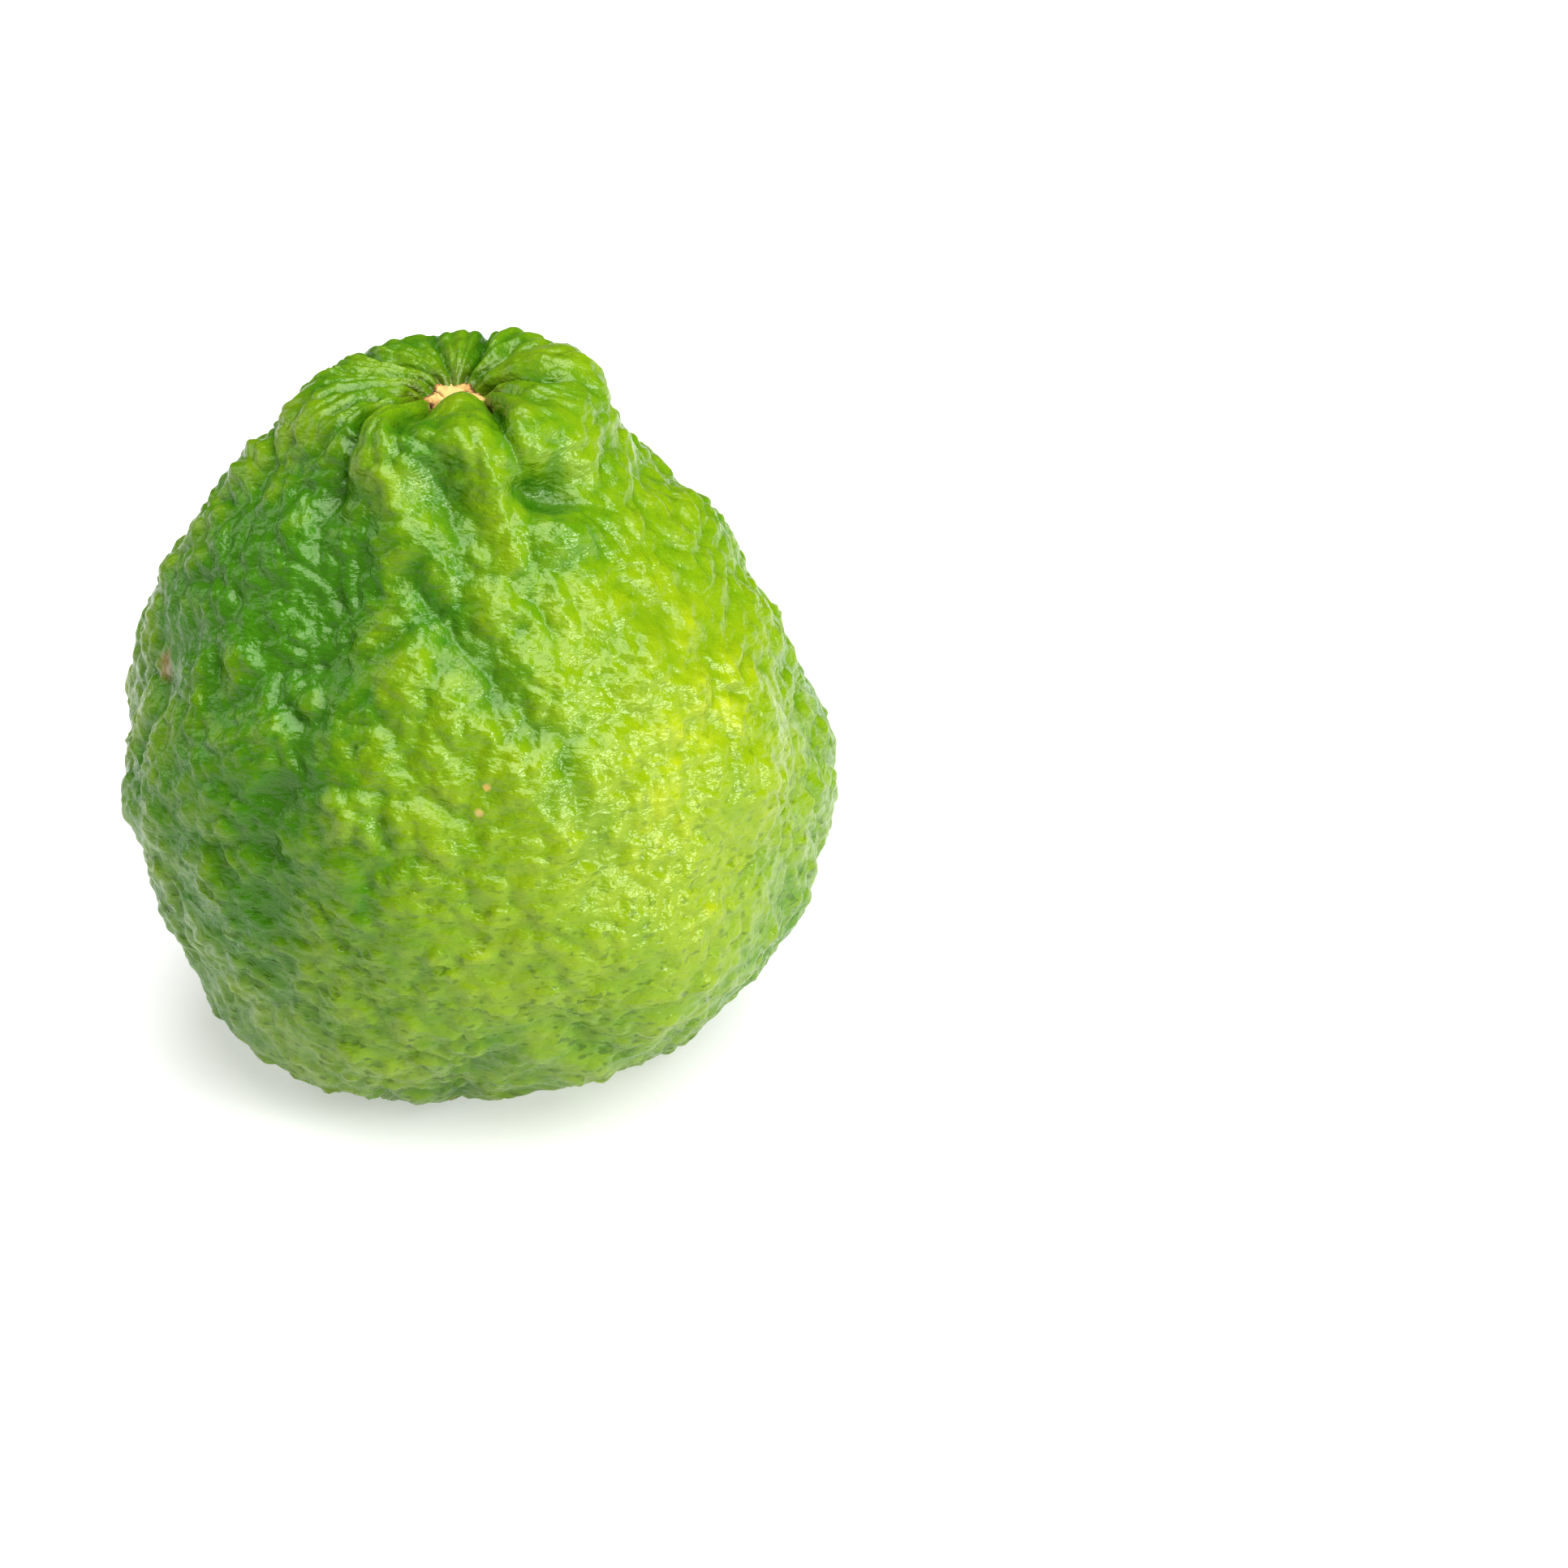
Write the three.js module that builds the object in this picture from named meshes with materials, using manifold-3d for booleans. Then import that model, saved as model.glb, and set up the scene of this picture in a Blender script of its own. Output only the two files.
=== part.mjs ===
import * as THREE from 'three';
import { mergeVertices } from 'three/addons/utils/BufferGeometryUtils.js';
import Module from 'manifold-3d';

// A makrut lime, picked and standing on its own underside. It is one grown fruit, with a lobed
// neck round a small crater, and the dry end of the stalk, which stays in the crater.
// Millimetres, +Z up. The origin is the middle of the flat spot that the fruit rests on. Azimuths
// are in degrees round +Z: 0 is +X, 90 is +Y, and -90 is the front.

// Driving dimensions of the smooth fruit, without its bumps.
const BELLY_RADIUS = 32;
const BELLY_HEIGHT = 27;
const NECK_RADIUS = 14.8;
const NECK_HEIGHT = 61.4;
const CREST_RADIUS = 8.7;
const CREST_HEIGHT = 67.9;
const CRATER_RADIUS = 2.9;
const CRATER_HEIGHT = 65.2;
const UNDERSIDE_HEIGHT = -1;

// The outline from the crater's floor over its rim and down to the middle of the underside, as
// the radius and height of the points that the curve passes through.
const OUTLINE = [
  [0, CRATER_HEIGHT],
  [CRATER_RADIUS, CRATER_HEIGHT + 0.2],
  [CREST_RADIUS - 4.2, CREST_HEIGHT - 0.9],
  [CREST_RADIUS, CREST_HEIGHT],
  [CREST_RADIUS + 3.4, CREST_HEIGHT - 1],
  [NECK_RADIUS, NECK_HEIGHT],
  [NECK_RADIUS + 6.2, NECK_HEIGHT - 6.9],
  [BELLY_RADIUS - 4.7, BELLY_HEIGHT + 18],
  [BELLY_RADIUS - 0.8, BELLY_HEIGHT + 8],
  [BELLY_RADIUS, BELLY_HEIGHT - 2],
  [BELLY_RADIUS - 3.6, BELLY_HEIGHT - 13.4],
  [BELLY_RADIUS - 12.4, 4.6],
  [9.4, -0.2],
  [0, UNDERSIDE_HEIGHT],
];

// The fruit isn't quite round: its axis leans to -X, the belly bulges back over to +X, and so
// does the crater in the crown.
const LEAN = -1.4;
const BULGE = 2.1;
const BULGE_HEIGHT = 23;
const BULGE_SPREAD = 16;
const CRATER_SHIFT = 0.9;
const CRATER_SHIFT_ENDS = [4, 12];

// The creases that part the lobes of the crown, as azimuth, depth and how far down they run.
const CROWN_CREASES = [
  [38, 0.7, 15],
  [63, 2.4, 24],
  [98, 1.4, 17],
  [126, 1.9, 22],
  [150, 1, 18],
  [178, 1.5, 19],
  [203, 1.4, 20],
  [224, 2.4, 27],
  [248, 1.9, 19],
  [303, 2.3, 21],
  [328, 0.5, 14],
  [354, 1.7, 20],
];
// How much higher than the smooth fruit each lobe stands, in the order of the crease before it.
const LOBE_HEIGHTS = [0.2, -0.1, -0.2, 0, -0.1, 0.2, 0, 0.3, 0.5, 0.5, 0.3, 0.3];
// Creases wander sideways, and creases and lobes keep their full size for a share of their way.
// Here and below, travel is the way along the outline from its start.
const CREASE_WANDER = { degrees: 4.5, wavelength: 8, seed: 3, travel: [4, 10] };
const CREASE_FULL = 0.35;
const LOBE_FULL = 0.4;
// The creases meet a little behind the crater's middle, until they straighten at a travel, and
// begin at this distance from where they meet.
const CREASES_MEET = 1.6;
const CREASES_STRAIGHTEN = [3, 10];
const CREASES_BEGIN = [0.6, 3.6];
// The front lobe also leans in over the crater, and is smoother than the others.
const LEANING_LOBE = { azimuth: -86, travel: 4.2, reach: 2.8, rise: 1 };
// Narrow pleats run out over the lobes of the crown, deeper in some patches than in others.
const PLEATS = { count: 40, depth: 0.6, wander: 0.6, wavelength: 9, seed: 4 };
const PLEATS_BEGIN = [1.5, 4];
const PLEATS_END = [11, 19];
const PLEAT_PATCHES = { mean: 0.6, change: 0.4, wavelength: 14, seed: 11, least: 0.3 };

// Broad swells of the fruit, each as the azimuth and height of its middle, how far it reaches
// and how high it rises.
const SWELLS = [
  { at: [8, 66.8], reach: 5, rise: 1.4 },
  { at: [-4, 58], reach: 4.5, rise: -1.1 },
  { at: [18, 55.2], reach: 3.5, rise: -1.2 },
  { at: [-6, 48], reach: 9, rise: 1.3 },
  { at: [2, 40.3], reach: 5, rise: 1.1 },
  { at: [172, 60.8], reach: 5, rise: 1.2 },
  { at: [169, 52.5], reach: 4.5, rise: -1.2 },
  { at: [-158, 31.5], reach: 5, rise: 0.9 },
  { at: [-160, 22], reach: 5, rise: 0.6 },
  { at: [-145, 9], reach: 8, rise: 0.3 },
  { at: [-104, 52], reach: 6, rise: 1 },
  { at: [-56, 59.3], reach: 3.2, rise: 1.5 },
  { at: [-52, 62.2], reach: 3, rise: -1.3 },
  { at: [-94, 64], reach: 2.8, rise: -0.8 },
  { at: [-96, 59.4], reach: 3.4, rise: 1 },
  { at: [-117, 60], reach: 3.2, rise: 0.8 },
  { at: [-136, 57.6], reach: 3.6, rise: 0.9 },
  { at: [-40, 65.4], reach: 4, rise: 0.5 },
  { at: [-44, 7], reach: 8, rise: 0.2 },
  { at: [-92, 3], reach: 10, rise: -0.5 },
];

// The longer furrows of the rind, each as the azimuth and height of its points, half its width
// and its depth, which is less than 0 for a ridge. The first eleven are on the front.
const FURROWS = [
  { line: [[-139, 65], [-128, 60.5], [-123, 55], [-120, 44], [-124, 36], [-126, 18]], reach: 5, depth: 1.4 },
  { line: [[-101, 57.5], [-90, 53.6], [-82, 50], [-75, 46], [-72, 42]], reach: 4, depth: 1.3 },
  { line: [[-73, 43], [-70, 36], [-71, 30]], reach: 2.8, depth: 0.6 },
  { line: [[-66, 63.4], [-53, 62], [-38, 61.8]], reach: 2.6, depth: 1.6 },
  { line: [[-98, 68], [-96, 65.5], [-89, 62], [-84, 58]], reach: 3.2, depth: 1.3 },
  { line: [[-94, -0.5], [-94, 5], [-92, 11], [-88, 15], [-90, 20]], reach: 3.2, depth: 1.1 },
  { line: [[-92, 20], [-82, 20.4], [-75, 17], [-66, 13], [-60, 8]], reach: 2.8, depth: 0.6 },
  { line: [[-48, 56], [-38, 49], [-32, 40]], reach: 3.2, depth: 0.4 },
  { line: [[-65, 61.8], [-53, 61], [-41, 60.9]], reach: 1.4, depth: 0.8 },
  { line: [[-115, 67], [-114, 65], [-110, 62.6], [-105, 60]], reach: 2.6, depth: -0.9 },
  { line: [[-79, 67.5], [-75, 65.6], [-71, 63.6], [-72, 61], [-73, 58]], reach: 2.8, depth: -1 },
  { line: [[13, 61], [20, 52], [18, 43], [24, 34]], reach: 3.6, depth: 0.8 },
  { line: [[38, 62], [46, 54], [44, 44], [50, 33], [49, 22]], reach: 4, depth: 1 },
  { line: [[84, 60], [80, 51], [86, 42], [82, 30]], reach: 3.6, depth: 0.8 },
  { line: [[122, 63], [118, 55], [124, 45], [120, 35], [126, 24]], reach: 4, depth: 1 },
  { line: [[158, 60], [164, 50], [160, 40], [166, 30]], reach: 3.6, depth: 0.8 },
  { line: [[-162, 56], [-158, 46], [-160, 36], [-155, 26]], reach: 3.4, depth: 0.6 },
  { line: [[30, 15], [26, 8], [30, 3]], reach: 3.2, depth: 0.7 },
  { line: [[88, 16], [92, 8], [88, 3]], reach: 3.2, depth: 0.8 },
  { line: [[150, 15], [146, 8], [150, 3]], reach: 3.2, depth: 0.7 },
];

// A furrow's width wanders, and it is a soft dip with a narrower crease along its middle.
const FURROW_WANDER = { share: 0.25, wavelength: 7, seed: 21, least: 0.4 };
const FURROW_CREASE = { width: 0.7, share: 0.2 };
const FURROW_ENDS = 0.04;

// Long uneven waves of the rind, each as its wavelength, height and seed.
const LONG_WAVES = [[24, 0.5, 1], [13, 0.28, 2], [8, 0.16, 7]];
const WAVES_BEGIN = [3, 12];

// The bumps that cover the rind: how wide each is, how far its edge wanders, how high it stands
// on the belly and on the shoulder and neck, and how soft the creases between them are.
const SWELLINGS = { size: 6.4, wander: 1.2, belly: 0.4, shoulder: 0.72, softness: 2, seed: 10 };
const WARTS = { size: 3.3, wander: 0.9, belly: 0.42, shoulder: 0.46, softness: 1.6, seed: 20 };
const SHOULDER = [24, 50];
const BUMPS_BEGIN = [8, 17];
const BUMP_SCATTER = 0.8;
const EDGE_WAVES = 2.2;
const CREASE_LEVEL = 0.4;
// The smoother places, such as where the rind is drawn in: the azimuth and height of the middle,
// the reach, and how much of the bumps is gone there.
const CALM = [
  { at: [-53, 62.2], reach: 3, share: 0.85 },
  { at: [-97, 64], reach: 2.4, share: 0.85 },
  { at: [-88, 60.5], reach: 2, share: 0.6 },
  { at: [-137, 63.5], reach: 2.6, share: 0.7 },
  { at: [-50, 44], reach: 26, share: 0.35 },
];

// The stalk's end is a woody disc with points that reach into the creases of the crown. Its top
// slants down to the front, by this much for each millimetre.
const STALK_RADIUS = 2.4;
const STALK_POINTS = [63, 126, 178, 224, 303, 354];
const STALK_POINT_LENGTH = 0.6;
const STALK_POINT_SPREAD = 14;
const STALK_THICKNESS = 2.4;
const STALK_TOP = 66.1;
const STALK_SLANT = 0.18;
const STALK_SIDES = 36;
const CLEARANCE = 0.3;

// How finely the rind is divided, and how much closer the divisions lie at the crown.
const RIND_DETAIL = 21;
const CROWN_CROWDING = 1.22;

const { degToRad, radToDeg, euclideanModulo, clamp, lerp, smoothstep } = THREE.MathUtils;

// The smooth fruit

const outline = new THREE.SplineCurve(OUTLINE.map(([radius, height]) => new THREE.Vector2(radius, height)));
outline.arcLengthDivisions = 2000;
const OUTLINE_LENGTH = outline.getLength();

// The point and outward normal of the smooth fruit, a share of the way along its outline.
function smoothFruit(share, azimuth) {
  const { x: radius, y: height } = outline.getPointAt(share);
  const tangent = outline.getTangentAt(share);
  const bulge = BULGE * Math.exp(-(((height - BULGE_HEIGHT) / BULGE_SPREAD) ** 2));
  const shift = CRATER_SHIFT * (1 - smoothstep(share * OUTLINE_LENGTH, ...CRATER_SHIFT_ENDS));
  const across = Math.cos(azimuth);
  const back = Math.sin(azimuth);
  return {
    point: new THREE.Vector3(LEAN + bulge + shift + radius * across, radius * back, height),
    normal: new THREE.Vector3(-tangent.y * across, -tangent.y * back, tangent.x),
  };
}

// The point of the smooth fruit at an azimuth and height, on its outside below the crest.
function onRind([degrees, height]) {
  let above = 0;
  while (outline.getPointAt(above).y < CREST_HEIGHT - 0.1) above += 0.005;
  let below = 1;
  while (below - above > 0.0005) {
    const middle = (above + below) / 2;
    if (outline.getPointAt(middle).y > height) above = middle;
    else below = middle;
  }
  return smoothFruit(above, degToRad(degrees)).point;
}

// Random draws and waves, the same each time

function draw(index, seed) {
  const value = Math.sin(index * 12.9898 + seed * 78.233) * 43758.5453;
  return value - Math.floor(value);
}

// An even, wandering wave through space, mostly between -2 and 2.
function ripple(point, wavelength, seed) {
  const waves = 6;
  let sum = 0;
  for (let wave = 0; wave < waves; wave += 1) {
    const up = 1 - (2 * wave + 1) / waves;
    const turn = 2.4 * wave + 1.7 * seed;
    const flat = Math.sqrt(1 - up * up);
    const along = point.x * flat * Math.cos(turn) + point.y * flat * Math.sin(turn) + point.z * up;
    const length = wavelength * (1 + 0.13 * wave);
    sum += Math.sin((2 * Math.PI * along) / length + 2.1 * seed + 1.3 * wave);
  }
  return sum / Math.sqrt(waves / 2);
}

// The crease where two round swellings meet: 1 at its bottom, 0 from t = 1 on.
function crease(t) {
  const left = clamp(1 - t, 0, 1);
  return 1 - Math.sqrt(1 - left * left);
}

// A smooth round hump over a middle: 1 at its top, and almost 0 from twice its reach on.
function hump(point, middle, reach) {
  return Math.exp(-((point.distanceTo(middle) / reach) ** 2));
}

// The lobes and pleats of the crown

const leaningLobe = smoothFruit(LEANING_LOBE.travel / OUTLINE_LENGTH, degToRad(LEANING_LOBE.azimuth)).point;

function crownRelief(point, travel, azimuth) {
  const radius = outline.getPointAt(travel / OUTLINE_LENGTH).x;
  const across = radius * Math.cos(azimuth);
  const meeting = CREASES_MEET * (1 - smoothstep(travel, ...CREASES_STRAIGHTEN));
  const back = radius * Math.sin(azimuth) - meeting;
  const fromMeeting = Math.hypot(across, back);
  const turned = radToDeg(Math.atan2(back, across));
  const sideways = CREASE_WANDER.degrees * smoothstep(travel, ...CREASE_WANDER.travel);
  const wander = sideways * ripple(point, CREASE_WANDER.wavelength, CREASE_WANDER.seed);
  const first = CROWN_CREASES[0][0];
  const degrees = euclideanModulo(turned + wander - first, 360) + first;
  const next = CROWN_CREASES.findIndex(([start]) => start > degrees);
  const after = next === -1 ? 0 : next;
  const before = euclideanModulo(after - 1, CROWN_CREASES.length);
  const [start, startDepth, startReach] = CROWN_CREASES[before];
  const [end, endDepth, endReach] = CROWN_CREASES[after];
  const t = (degrees - start) / euclideanModulo(end - start, 360);
  const reach = (startReach + endReach) / 2;
  const fade = (full, end) => 1 - smoothstep(travel, full * end, end);
  const atStart = startDepth * crease(2 * t) * fade(CREASE_FULL, startReach);
  const atEnd = endDepth * crease(2 * (1 - t)) * fade(CREASE_FULL, endReach);
  const lobe = LOBE_HEIGHTS[before] * Math.sin(Math.PI * t) * fade(LOBE_FULL, reach);
  const begun = smoothstep(fromMeeting, ...CREASES_BEGIN);
  const leaning = Math.exp(-((point.distanceTo(leaningLobe) / LEANING_LOBE.reach) ** 4));

  const pleatWander = PLEATS.wander * ripple(point, PLEATS.wavelength, PLEATS.seed);
  const turn = euclideanModulo((turned * PLEATS.count) / 360 + pleatWander, 1);
  const { mean, change, wavelength, seed, least } = PLEAT_PATCHES;
  const depth = PLEATS.depth * clamp(mean + change * ripple(point, wavelength, seed), least, 1);
  const onPleats = smoothstep(fromMeeting, ...PLEATS_BEGIN) * (1 - smoothstep(travel, ...PLEATS_END));
  const pleat = depth * crease(2 * Math.abs(turn - 0.5)) * onPleats * (1 - leaning);
  return (lobe - atStart - atEnd) * begun + LEANING_LOBE.rise * leaning - pleat;
}

// The broad swells and the furrows

const swells = SWELLS.map(({ at, reach, rise }) => ({ middle: onRind(at), reach, rise }));

function swellRelief(point) {
  let relief = 0;
  for (const { middle, reach, rise } of swells) {
    relief += rise * hump(point, middle, reach);
  }
  return relief;
}

const furrows = FURROWS.map(({ line, reach, depth }) => {
  const points = line.map(onRind);
  const stretches = points.slice(1).map((point, k) => new THREE.Line3(points[k], point));
  const length = stretches.reduce((sum, stretch) => sum + stretch.distance(), 0);
  return { stretches, length, reach, depth };
});

function furrowRelief(point) {
  const nearest = new THREE.Vector3();
  const wander = FURROW_WANDER.share * ripple(point, FURROW_WANDER.wavelength, FURROW_WANDER.seed);
  const widening = Math.max(1 + wander, FURROW_WANDER.least);
  let relief = 0;
  for (const { stretches, length, reach, depth } of furrows) {
    let distance = Infinity;
    let share = 0;
    let passed = 0;
    for (const stretch of stretches) {
      const t = stretch.closestPointToPointParameter(point, true);
      const away = stretch.at(t, nearest).distanceTo(point);
      if (away < distance) {
        distance = away;
        share = (passed + t * stretch.distance()) / length;
      }
      passed += stretch.distance();
    }
    const taper = Math.sqrt(Math.sin(Math.PI * clamp(share, FURROW_ENDS, 1 - FURROW_ENDS)));
    const middle = crease(distance / (FURROW_CREASE.width * reach * widening));
    const dip = Math.exp(-2 * (distance / reach) ** 2);
    relief -= depth * taper * lerp(dip, middle, FURROW_CREASE.share);
  }
  return relief;
}

// The bumps

// Centres of bumps, in rows round the fruit, each moved a little from its even place.
function scatter({ size, seed }) {
  const rows = Math.round(OUTLINE_LENGTH / size);
  const centres = [];
  for (let row = 0; row < rows; row += 1) {
    const around = 2 * Math.PI * outline.getPointAt((row + 0.5) / rows).x;
    const count = Math.max(1, Math.round(around / size));
    for (let place = 0; place < count; place += 1) {
      const index = centres.length;
      const share = (row + 0.5 + BUMP_SCATTER * (draw(index, seed) - 0.5)) / rows;
      const turn = (place + 0.5 * (row % 2) + BUMP_SCATTER * (draw(index, seed + 1) - 0.5)) / count;
      centres.push(smoothFruit(clamp(share, 0, 1), 2 * Math.PI * turn).point);
    }
  }
  return centres;
}

function bumpHeight(point, { size, wander, softness, seed }, centres) {
  const shifts = [5, 6, 7].map((more) => wander * ripple(point, EDGE_WAVES * size, seed + more));
  const moved = new THREE.Vector3(...shifts).add(point);
  let first = Infinity;
  let second = Infinity;
  let owner = 0;
  centres.forEach((centre, index) => {
    const distance = moved.distanceTo(centre);
    if (distance < first) {
      second = first;
      first = distance;
      owner = index;
    } else if (distance < second) {
      second = distance;
    }
  });
  const t = first / second;
  return (1 - t * t) ** softness * (0.5 + draw(owner, seed + 3)) - CREASE_LEVEL;
}

const bumps = [SWELLINGS, WARTS].map((kind) => ({ kind, centres: scatter(kind) }));
const calmPlaces = CALM.map(({ at, reach, share }) => ({ middle: onRind(at), reach, share }));

function bumpRelief(point, travel) {
  const shoulder = smoothstep(point.z, ...SHOULDER);
  let relief = 0;
  for (const { kind, centres } of bumps) {
    relief += lerp(kind.belly, kind.shoulder, shoulder) * bumpHeight(point, kind, centres);
  }
  for (const { middle, reach, share } of calmPlaces) {
    relief *= 1 - share * hump(point, middle, reach);
  }
  return relief * smoothstep(travel, ...BUMPS_BEGIN);
}

// The rind: a divided icosahedron, drawn out to the fruit's outline and raised by the relief

function rindPoint(direction) {
  const share = (Math.acos(clamp(direction.z, -1, 1)) / Math.PI) ** CROWN_CROWDING;
  const azimuth = Math.atan2(direction.y, direction.x);
  const travel = share * OUTLINE_LENGTH;
  const { point, normal } = smoothFruit(share, azimuth);
  let relief = crownRelief(point, travel, azimuth) + swellRelief(point);
  relief += furrowRelief(point) + bumpRelief(point, travel);
  for (const [wavelength, height, seed] of LONG_WAVES) {
    relief += height * ripple(point, wavelength, seed) * smoothstep(travel, ...WAVES_BEGIN);
  }
  point.addScaledVector(normal, relief);
  point.z = Math.max(point.z, 0);
  return point;
}

function weld(geometry) {
  geometry.deleteAttribute('normal');
  geometry.deleteAttribute('uv');
  return mergeVertices(geometry);
}

const rind = weld(new THREE.IcosahedronGeometry(1, RIND_DETAIL));
const rindVertices = rind.getAttribute('position');
for (let i = 0; i < rindVertices.count; i += 1) {
  const direction = new THREE.Vector3().fromBufferAttribute(rindVertices, i);
  rindVertices.setXYZ(i, ...rindPoint(direction));
}

// The stalk's end, and the pocket in the crater that it stands in

// A disc with rounded points, wider all round by the margin.
function stalkOutline(margin) {
  const shape = new THREE.Shape();
  for (let side = 0; side < STALK_SIDES; side += 1) {
    const degrees = (360 * side) / STALK_SIDES;
    let radius = STALK_RADIUS + margin;
    for (const azimuth of STALK_POINTS) {
      const away = euclideanModulo(degrees - azimuth + 180, 360) - 180;
      radius += STALK_POINT_LENGTH * Math.exp(-((away / STALK_POINT_SPREAD) ** 2));
    }
    const corner = new THREE.Vector2(radius, 0).rotateAround(new THREE.Vector2(), degToRad(degrees));
    if (side === 0) shape.moveTo(corner.x, corner.y);
    else shape.lineTo(corner.x, corner.y);
  }
  return shape;
}

function stalkPrism(margin, bottom, top) {
  const prism = new THREE.ExtrudeGeometry(stalkOutline(margin), { depth: top - bottom, bevelEnabled: false });
  return prism.translate(LEAN + CRATER_SHIFT, 0, bottom);
}

const stalkBottom = STALK_TOP - STALK_THICKNESS;
const stalkEnd = stalkPrism(0, stalkBottom, STALK_TOP);
const stalkVertices = stalkEnd.getAttribute('position');
for (let i = 0; i < stalkVertices.count; i += 1) {
  const onTop = stalkVertices.getZ(i) > stalkBottom + STALK_THICKNESS / 2;
  if (onTop) stalkVertices.setZ(i, STALK_TOP + STALK_SLANT * stalkVertices.getY(i));
}
stalkEnd.computeVertexNormals();
const pocketTool = weld(stalkPrism(CLEARANCE, stalkBottom - CLEARANCE, CREST_HEIGHT + 5));

const wasm = await Module();
wasm.setup();

function solid(geometry) {
  return new wasm.Manifold(new wasm.Mesh({
    numProp: 3,
    vertProperties: new Float32Array(geometry.getAttribute('position').array),
    triVerts: new Uint32Array(geometry.getIndex().array),
  }));
}

const pocketed = solid(rind).subtract(solid(pocketTool)).getMesh();
const fruitGeometry = new THREE.BufferGeometry();
fruitGeometry.setAttribute('position', new THREE.BufferAttribute(pocketed.vertProperties, 3));
fruitGeometry.setIndex(new THREE.BufferAttribute(pocketed.triVerts, 1));
fruitGeometry.computeVertexNormals();

const rindMaterial = new THREE.MeshStandardMaterial({ color: '#6b9c1e', roughness: 0.42, metalness: 0 });
const stalkMaterial = new THREE.MeshStandardMaterial({ color: '#e6cf8e', roughness: 0.8, metalness: 0 });

const fruit = new THREE.Mesh(fruitGeometry, rindMaterial);
fruit.name = 'fruit';

const stalk = new THREE.Mesh(stalkEnd, stalkMaterial);
stalk.name = 'stalk_end';

const group = new THREE.Group();
group.add(fruit, stalk);

export default group;
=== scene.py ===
import math

import bmesh
import bpy
import numpy as np
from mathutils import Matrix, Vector
from mathutils.kdtree import KDTree


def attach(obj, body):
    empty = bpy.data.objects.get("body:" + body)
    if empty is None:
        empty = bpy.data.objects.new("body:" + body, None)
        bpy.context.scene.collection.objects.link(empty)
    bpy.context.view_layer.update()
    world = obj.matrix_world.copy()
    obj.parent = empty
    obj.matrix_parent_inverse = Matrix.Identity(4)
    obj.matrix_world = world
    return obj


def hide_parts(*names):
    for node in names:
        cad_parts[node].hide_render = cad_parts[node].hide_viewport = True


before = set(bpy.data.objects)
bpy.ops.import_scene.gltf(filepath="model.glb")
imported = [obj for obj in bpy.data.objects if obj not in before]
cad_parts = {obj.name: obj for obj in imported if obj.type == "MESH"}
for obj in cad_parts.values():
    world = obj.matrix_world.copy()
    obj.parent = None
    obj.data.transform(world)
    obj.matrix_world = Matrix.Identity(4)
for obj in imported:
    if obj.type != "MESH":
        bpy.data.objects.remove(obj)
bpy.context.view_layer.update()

# The camera stands as in the photograph, about 29 degrees above the surface, with a short
# telephoto lens. Its sensor and lens are in millimetres, and the rest in metres.
SENSOR = 36
LENS = 110
ELEVATION = math.radians(29)
FRUIT_WIDTH = 0.064
FRUIT_MIDDLE = Vector((0, 0, 0.034))
NEAREST_SEEN = 0.01
# In pixels: the picture's side, where the fruit's middle falls, and how wide the fruit is.
PICTURE = 1932
FRUIT_MIDDLE_AT = (582, 880)
FRUIT_WIDTH_SEEN = 860

# The camera is turned, but not tilted sideways, so that the fruit's middle falls left of the
# picture's middle.
focal_pixels = LENS / SENSOR * PICTURE
right_of_axis = (FRUIT_MIDDLE_AT[0] - PICTURE / 2) / focal_pixels
above_axis = (PICTURE / 2 - FRUIT_MIDDLE_AT[1]) / focal_pixels
lift = math.atan(above_axis)
slant = math.hypot(1, right_of_axis, above_axis)
pitch = -math.asin(math.sin(ELEVATION) * slant * math.cos(lift)) - lift
yaw = math.atan2(-right_of_axis, math.cos(pitch) - above_axis * math.sin(pitch))

camera = bpy.data.objects.new("camera", bpy.data.cameras.new("camera"))
bpy.context.scene.collection.objects.link(camera)
camera.data.sensor_width = SENSOR
camera.data.lens = LENS
camera.data.clip_start = NEAREST_SEEN
distance = focal_pixels * FRUIT_WIDTH / FRUIT_WIDTH_SEEN
camera.location = FRUIT_MIDDLE + distance * Vector((0, -math.cos(ELEVATION), math.sin(ELEVATION)))
camera.rotation_euler = (math.pi / 2 + pitch, 0, -yaw)
bpy.context.scene.camera = camera

# The fruit is one grown piece: a thick citrus rind over pith and flesh, of which only the rind
# shows. It swelled unevenly, so lobes fold in round the stalk, and warts, fine grain and oil
# glands cover the rest. Its sizes are in millimetres, and its azimuths in degrees round +Z.
MM = 0.001
BELLY_RADIUS = 32
BELLY_HEIGHT = 27
NECK_RADIUS = 14.8
NECK_HEIGHT = 61.4
CREST_RADIUS = 8.7
CREST_HEIGHT = 67.9
CRATER_RADIUS = 2.9
CRATER_HEIGHT = 65.2
UNDERSIDE_HEIGHT = -1
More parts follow.
